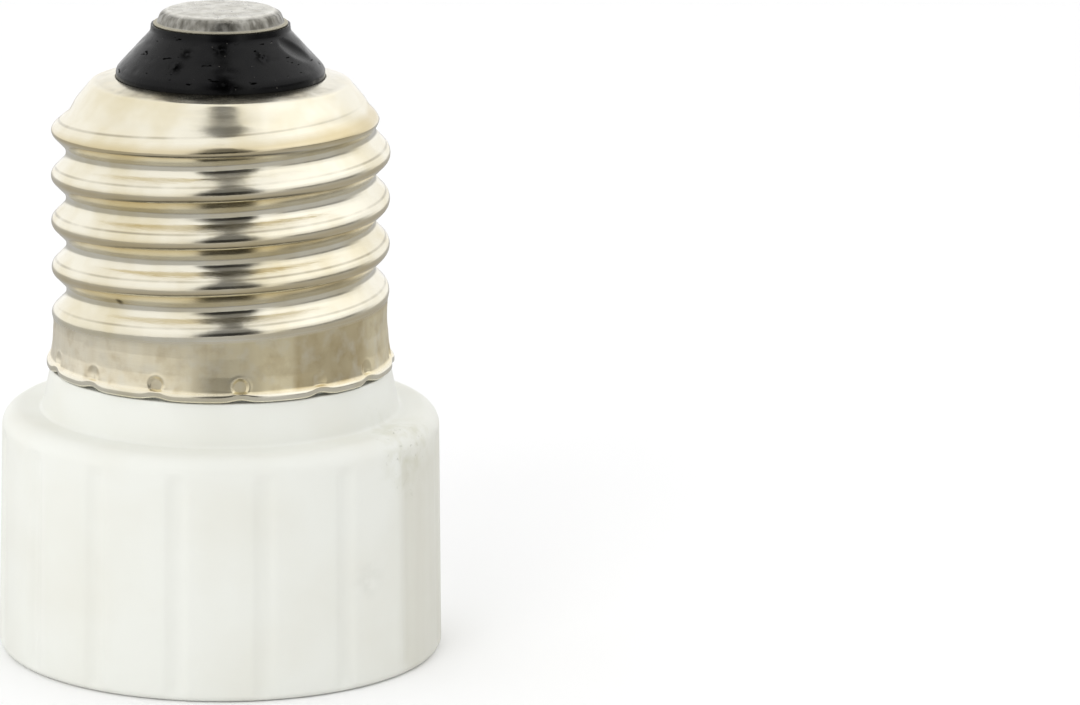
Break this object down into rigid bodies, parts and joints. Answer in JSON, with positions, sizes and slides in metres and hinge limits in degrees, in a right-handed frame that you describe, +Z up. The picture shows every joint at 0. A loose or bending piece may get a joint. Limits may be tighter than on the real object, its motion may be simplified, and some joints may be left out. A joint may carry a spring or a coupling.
{
  "type": "lamp socket adapter",
  "caption": "Adapter with a threaded metal screw cap on a fluted white casing, holding a ceramic twist-lock socket for a two-pin lamp.",
  "frame": {"origin": "centre of the socket rim plane, on the adapter's axis", "axes": "+Z up along the axis from the socket rim to the cap's centre contact, -Y towards the front, +X to the right"},
  "size_m": [0.0348, 0.0348, 0.0507],
  "materials": {
    "white_plastic": "moulded, satin",
    "nickel_plate": "nickel plated, rolled",
    "black_moulding": "moulded, slightly glossy",
    "tinned_contact": "tinned, tarnished",
    "solder": "dull solder",
    "ceramic": "unglazed, pressed",
    "brass": "bare",
    "zinc_steel": "zinc plated",
    "copper": "stranded copper",
    "silicone_sleeve": "silicone sleeve"
  },
  "bodies": {
    "root": {"casing": "white_plastic", "screw_shell": "nickel_plate", "cap_insulator": "black_moulding", "centre_contact": "tinned_contact", "centre_solder": "solder", "socket_insert": "ceramic", "back_plate": "ceramic", "eyelets": "brass", "fixing_screws": "zinc_steel", "contact_live": "brass", "contact_neutral": "brass", "live_conductor": "copper", "live_sleeve": "silicone_sleeve", "neutral_conductor": "copper", "neutral_sleeve": "silicone_sleeve"}
  },
  "joints": []
}
